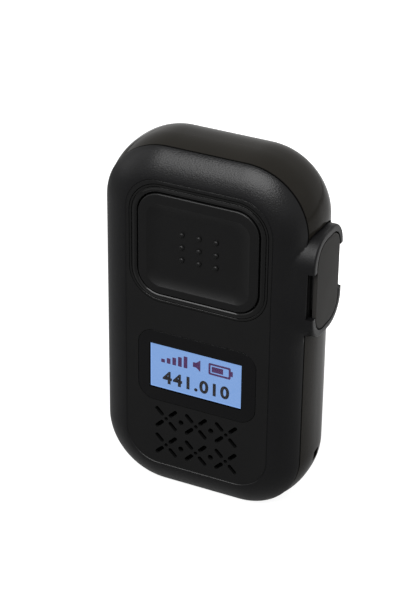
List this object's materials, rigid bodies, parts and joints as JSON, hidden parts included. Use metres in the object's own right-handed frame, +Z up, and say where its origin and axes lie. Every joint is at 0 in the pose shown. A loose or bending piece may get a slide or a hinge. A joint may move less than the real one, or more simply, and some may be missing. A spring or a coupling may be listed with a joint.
{
  "type": "portable radio",
  "caption": "Body-worn badge radio with a large dished push-to-talk button, lit display, slotted speaker grille, covered side port and sprung belt clip.",
  "frame": {"origin": "middle of the flat base that the radio stands on", "axes": "+Z up along the radio, front panel faces -Y, +X to the right of someone who looks at the front"},
  "size_m": [0.0591, 0.0307, 0.0988],
  "materials": {
    "shell_plastic": "fine-grained satin black",
    "rear_plastic": "warm gloss black",
    "button_plastic": "satin black",
    "bezel_plastic": "gloss black",
    "lens_acrylic": "smoked clear acrylic",
    "screen_blue": "pale blue lit display",
    "cover_rubber": "matte warm grey",
    "black_rubber": "matte",
    "black_nylon": "satin",
    "dust_cloth": "woven mesh",
    "cone_paper": "matte",
    "foam": "open cell",
    "tinned_steel": "tinned",
    "ferrite": "sintered",
    "board_green": "solder resist",
    "dark_steel": "blackened",
    "gold_plate": "gold plated",
    "battery_wrap": "shrink wrap"
  },
  "bodies": {
    "case": {"antenna": "gold_plate", "battery_foam": "foam", "battery_pack": "battery_wrap", "case_screw_1": "dark_steel", "case_screw_2": "dark_steel", "case_screw_3": "dark_steel", "case_screw_4": "dark_steel", "case_seal": "black_rubber", "charge_contact_left": "gold_plate", "charge_contact_right": "gold_plate", "clip_bracket": "black_nylon", "clip_pin": "dark_steel", "clip_screw_left": "dark_steel", "clip_screw_right": "dark_steel", "clip_spring": "dark_steel", "display_lens": "lens_acrylic", "front_shell": "shell_plastic", "grille_cloth": "dust_cloth", "lcd_frame": "black_nylon", "lcd_panel": "screen_blue", "main_board": "board_green", "mic_boot": "black_rubber", "microphone": "tinned_steel", "port_connector": "black_nylon", "port_contacts_front": "gold_plate", "port_contacts_rear": "gold_plate", "port_seal": "black_rubber", "power_switch": "black_nylon", "ptt_bezel": "bezel_plastic", "ptt_switch": "black_nylon", "rear_shell": "rear_plastic", "shield_can": "tinned_steel", "speaker_basket": "tinned_steel", "speaker_cone": "cone_paper", "speaker_gasket": "foam", "speaker_magnet": "ferrite", "volume_down_switch": "black_nylon", "volume_up_switch": "black_nylon"},
    "ptt": {"ptt_button": "button_plastic"},
    "power": {"power_key": "button_plastic"},
    "volume_up": {"volume_up_key": "button_plastic"},
    "volume_down": {"volume_down_key": "button_plastic"},
    "cover": {"port_cover": "cover_rubber"},
    "clip": {"belt_clip": "black_nylon"}
  },
  "joints": [
    {"name": "ptt_press", "type": "slide", "parent": "case", "child": "ptt", "axis": [0, 1, 0], "range_m": [0, 0.0008], "stiffness_N_per_m": 300, "springref_m": -0.002},
    {"name": "power_press", "type": "slide", "parent": "case", "child": "power", "axis": [1, 0, 0], "range_m": [0, 0.0005], "stiffness_N_per_m": 200, "springref_m": -0.0015},
    {"name": "volume_up_press", "type": "slide", "parent": "case", "child": "volume_up", "axis": [1, 0, 0], "range_m": [0, 0.0005], "stiffness_N_per_m": 200, "springref_m": -0.0015},
    {"name": "volume_down_press", "type": "slide", "parent": "case", "child": "volume_down", "axis": [1, 0, 0], "range_m": [0, 0.0005], "stiffness_N_per_m": 200, "springref_m": -0.0015},
    {"name": "cover_pull", "type": "slide", "parent": "case", "child": "cover", "axis": [1, 0, 0], "range_m": [0, 0.006]},
    {"name": "clip_hinge", "type": "hinge", "parent": "case", "child": "clip", "pos_m": [0, 0.015, 0.07975], "axis": [1, 0, 0], "range_deg": [0, 20], "stiffness_Nm_per_rad": 0.8, "springref_deg": -17.19, "deforming": ["clip_spring"]}
  ]
}
